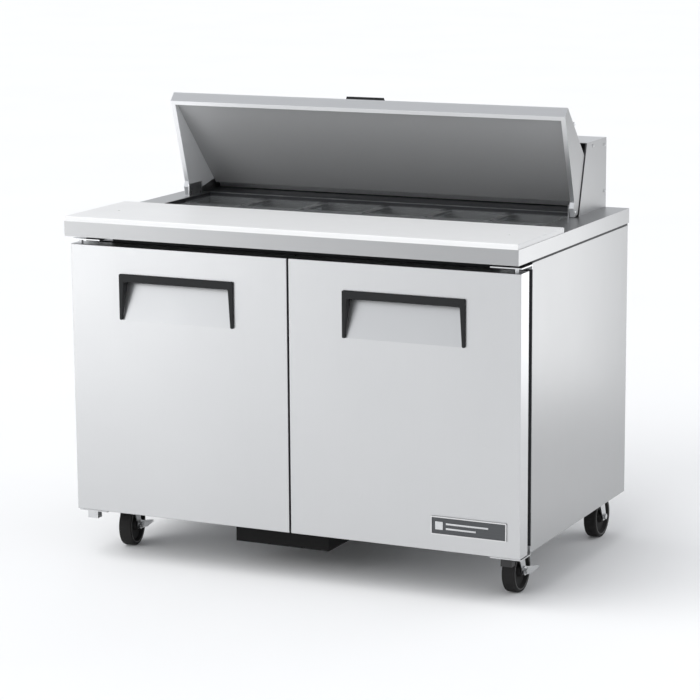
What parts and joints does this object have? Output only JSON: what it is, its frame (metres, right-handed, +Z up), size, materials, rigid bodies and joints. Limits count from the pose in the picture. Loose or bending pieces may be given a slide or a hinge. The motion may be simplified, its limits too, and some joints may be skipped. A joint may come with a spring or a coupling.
{
  "type": "sandwich prep table",
  "caption": "Refrigerated stainless sandwich prep table with hinged doors, an open insulated lid over food pans, a full-width cutting board and swivel casters.",
  "frame": {"origin": "on the floor under the middle of the overall length and depth", "axes": "+X to the right of a person in front of the doors, +Y to the rear, +Z up"},
  "size_m": [1.229, 0.81, 1.165],
  "materials": {
    "stainless": "satin",
    "galvanised": "satin",
    "aluminium": "satin",
    "foam": "matte",
    "foamed_door_panel": "satin",
    "foamed_lid_panel": "satin",
    "black_plastic": "matte",
    "gasket_rubber": "matte",
    "white_polyethylene": "satin",
    "clear_plastic": "gloss",
    "zinc": "satin",
    "coated_wire": "satin",
    "wheel_rubber": "matte",
    "black_paint": "satin",
    "badge_plastic": "satin"
  },
  "bodies": {
    "cabinet": {"side_panels": "stainless", "back_panel": "galvanised", "rear_grille": "galvanised", "base_panel": "galvanised", "insulation": "foam", "liner": "aluminium", "front_frame": "black_plastic", "worktop": "stainless", "pan_rails": "black_plastic", "hood": "stainless", "hinge_brackets": "zinc", "shelf_supports": "zinc", "evaporator_coil": "aluminium", "evaporator_cover": "aluminium", "condenser_coil": "aluminium", "compressor": "black_paint", "unit_tray": "black_paint", "caster_plates": "zinc"},
    "left_door": {"left_door_skin": "stainless", "left_door_inner_panel": "foamed_door_panel", "left_door_gasket": "gasket_rubber", "left_door_handle": "black_plastic"},
    "right_door": {"right_door_skin": "stainless", "right_door_inner_panel": "foamed_door_panel", "right_door_gasket": "gasket_rubber", "right_door_handle": "black_plastic", "badge": "badge_plastic"},
    "lid": {"lid_skin": "stainless", "lid_liner": "foamed_lid_panel", "lid_handle": "black_plastic"},
    "cutting_board": {"cutting_board": "white_polyethylene"},
    "thermostat_knob": {"thermostat_knob": "black_plastic"},
    "evaporator_fan": {"evaporator_fan": "aluminium"},
    "condenser_fan": {"condenser_fan": "aluminium"},
    "front_pan_1": {"front_pan_1": "clear_plastic"},
    "front_pan_2": {"front_pan_2": "clear_plastic"},
    "front_pan_3": {"front_pan_3": "clear_plastic"},
    "front_pan_4": {"front_pan_4": "clear_plastic"},
    "front_pan_5": {"front_pan_5": "clear_plastic"},
    "front_pan_6": {"front_pan_6": "clear_plastic"},
    "rear_pan_1": {"rear_pan_1": "clear_plastic"},
    "rear_pan_2": {"rear_pan_2": "clear_plastic"},
    "rear_pan_3": {"rear_pan_3": "clear_plastic"},
    "rear_pan_4": {"rear_pan_4": "clear_plastic"},
    "rear_pan_5": {"rear_pan_5": "clear_plastic"},
    "rear_pan_6": {"rear_pan_6": "clear_plastic"},
    "left_lower_shelf": {"left_lower_shelf": "coated_wire"},
    "left_upper_shelf": {"left_upper_shelf": "coated_wire"},
    "right_lower_shelf": {"right_lower_shelf": "coated_wire"},
    "right_upper_shelf": {"right_upper_shelf": "coated_wire"},
    "front_left_fork": {"front_left_fork": "zinc"},
    "front_left_wheel": {"front_left_wheel": "wheel_rubber"},
    "front_left_brake_lever": {"front_left_brake_lever": "zinc"},
    "front_right_fork": {"front_right_fork": "zinc"},
    "front_right_wheel": {"front_right_wheel": "wheel_rubber"},
    "front_right_brake_lever": {"front_right_brake_lever": "zinc"},
    "rear_left_fork": {"rear_left_fork": "zinc"},
    "rear_left_wheel": {"rear_left_wheel": "wheel_rubber"},
    "rear_right_fork": {"rear_right_fork": "zinc"},
    "rear_right_wheel": {"rear_right_wheel": "wheel_rubber"}
  },
  "joints": [
    {"name": "left_door_hinge", "type": "hinge", "parent": "cabinet", "child": "left_door", "pos_m": [-0.5925, -0.36, 0.47], "axis": [0, 0, -1], "range_deg": [0, 110], "stiffness_Nm_per_rad": 2, "springref_deg": -11.46},
    {"name": "right_door_hinge", "type": "hinge", "parent": "cabinet", "child": "right_door", "pos_m": [0.5925, -0.36, 0.47], "axis": [0, 0, 1], "range_deg": [0, 110], "stiffness_Nm_per_rad": 2, "springref_deg": -11.46},
    {"name": "lid_hinge", "type": "hinge", "parent": "cabinet", "child": "lid", "pos_m": [0, 0.143, 0.893], "axis": [1, 0, 0], "range_deg": [0, 72.6]},
    {"name": "board_slide", "type": "slide", "parent": "cabinet", "child": "cutting_board", "axis": [0, -1, 0], "range_m": [0, 0.15]},
    {"name": "thermostat_turn", "type": "hinge", "parent": "cabinet", "child": "thermostat_knob", "pos_m": [0.24, 0.16, 0.5892], "axis": [0, -1, 0], "range_deg": [0, 270]},
    {"name": "evaporator_fan_spin", "type": "hinge", "parent": "cabinet", "child": "evaporator_fan", "pos_m": [0, 0.1926, 0.5892], "axis": [0, 1, 0], "continuous": true},
    {"name": "condenser_fan_spin", "type": "hinge", "parent": "cabinet", "child": "condenser_fan", "pos_m": [0.095, 0.272, 0.2442], "axis": [1, 0, 0], "continuous": true},
    {"name": "front_pan_1_lift", "type": "slide", "parent": "cabinet", "child": "front_pan_1", "axis": [0, 0, 1], "range_m": [0, 0.03]},
    {"name": "front_pan_2_lift", "type": "slide", "parent": "cabinet", "child": "front_pan_2", "axis": [0, 0, 1], "range_m": [0, 0.03]},
    {"name": "front_pan_3_lift", "type": "slide", "parent": "cabinet", "child": "front_pan_3", "axis": [0, 0, 1], "range_m": [0, 0.03]},
    {"name": "front_pan_4_lift", "type": "slide", "parent": "cabinet", "child": "front_pan_4", "axis": [0, 0, 1], "range_m": [0, 0.03]},
    {"name": "front_pan_5_lift", "type": "slide", "parent": "cabinet", "child": "front_pan_5", "axis": [0, 0, 1], "range_m": [0, 0.03]},
    {"name": "front_pan_6_lift", "type": "slide", "parent": "cabinet", "child": "front_pan_6", "axis": [0, 0, 1], "range_m": [0, 0.03]},
    {"name": "rear_pan_1_lift", "type": "slide", "parent": "cabinet", "child": "rear_pan_1", "axis": [0, 0, 1], "range_m": [0, 0.03]},
    {"name": "rear_pan_2_lift", "type": "slide", "parent": "cabinet", "child": "rear_pan_2", "axis": [0, 0, 1], "range_m": [0, 0.03]},
    {"name": "rear_pan_3_lift", "type": "slide", "parent": "cabinet", "child": "rear_pan_3", "axis": [0, 0, 1], "range_m": [0, 0.03]},
    {"name": "rear_pan_4_lift", "type": "slide", "parent": "cabinet", "child": "rear_pan_4", "axis": [0, 0, 1], "range_m": [0, 0.03]},
    {"name": "rear_pan_5_lift", "type": "slide", "parent": "cabinet", "child": "rear_pan_5", "axis": [0, 0, 1], "range_m": [0, 0.03]},
    {"name": "rear_pan_6_lift", "type": "slide", "parent": "cabinet", "child": "rear_pan_6", "axis": [0, 0, 1], "range_m": [0, 0.03]},
    {"name": "left_lower_shelf_lift", "type": "slide", "parent": "cabinet", "child": "left_lower_shelf", "axis": [0, 0, 1], "range_m": [0, 0.02]},
    {"name": "left_upper_shelf_lift", "type": "slide", "parent": "cabinet", "child": "left_upper_shelf", "axis": [0, 0, 1], "range_m": [0, 0.02]},
    {"name": "right_lower_shelf_lift", "type": "slide", "parent": "cabinet", "child": "right_lower_shelf", "axis": [0, 0, 1], "range_m": [0, 0.02]},
    {"name": "right_upper_shelf_lift", "type": "slide", "parent": "cabinet", "child": "right_upper_shelf", "axis": [0, 0, 1], "range_m": [0, 0.02]},
    {"name": "front_left_swivel", "type": "hinge", "parent": "cabinet", "child": "front_left_fork", "pos_m": [-0.539, -0.255, 0.12], "axis": [0, 0, 1], "continuous": true},
    {"name": "front_left_wheel_spin", "type": "hinge", "parent": "front_left_fork", "child": "front_left_wheel", "pos_m": [-0.54432, -0.22142, 0.055], "axis": [0.9877, 0.1564, 0], "continuous": true},
    {"name": "front_left_brake_press", "type": "hinge", "parent": "front_left_fork", "child": "front_left_brake_lever", "pos_m": [-0.54432, -0.22142, 0.055], "axis": [-0.9877, -0.1564, 0], "range_deg": [0, 15]},
    {"name": "front_right_swivel", "type": "hinge", "parent": "cabinet", "child": "front_right_fork", "pos_m": [0.539, -0.255, 0.12], "axis": [0, 0, 1], "continuous": true},
    {"name": "front_right_wheel_spin", "type": "hinge", "parent": "front_right_fork", "child": "front_right_wheel", "pos_m": [0.539, -0.221, 0.055], "axis": [1, 0, 0], "continuous": true},
    {"name": "front_right_brake_press", "type": "hinge", "parent": "front_right_fork", "child": "front_right_brake_lever", "pos_m": [0.539, -0.221, 0.055], "axis": [-1, 0, 0], "range_deg": [0, 15]},
    {"name": "rear_left_swivel", "type": "hinge", "parent": "cabinet", "child": "rear_left_fork", "pos_m": [-0.539, 0.316, 0.12], "axis": [0, 0, 1], "continuous": true},
    {"name": "rear_left_wheel_spin", "type": "hinge", "parent": "rear_left_fork", "child": "rear_left_wheel", "pos_m": [-0.539, 0.35, 0.055], "axis": [1, 0, 0], "continuous": true},
    {"name": "rear_right_swivel", "type": "hinge", "parent": "cabinet", "child": "rear_right_fork", "pos_m": [0.539, 0.316, 0.12], "axis": [0, 0, 1], "continuous": true},
    {"name": "rear_right_wheel_spin", "type": "hinge", "parent": "rear_right_fork", "child": "rear_right_wheel", "pos_m": [0.539, 0.35, 0.055], "axis": [1, 0, 0], "continuous": true}
  ]
}
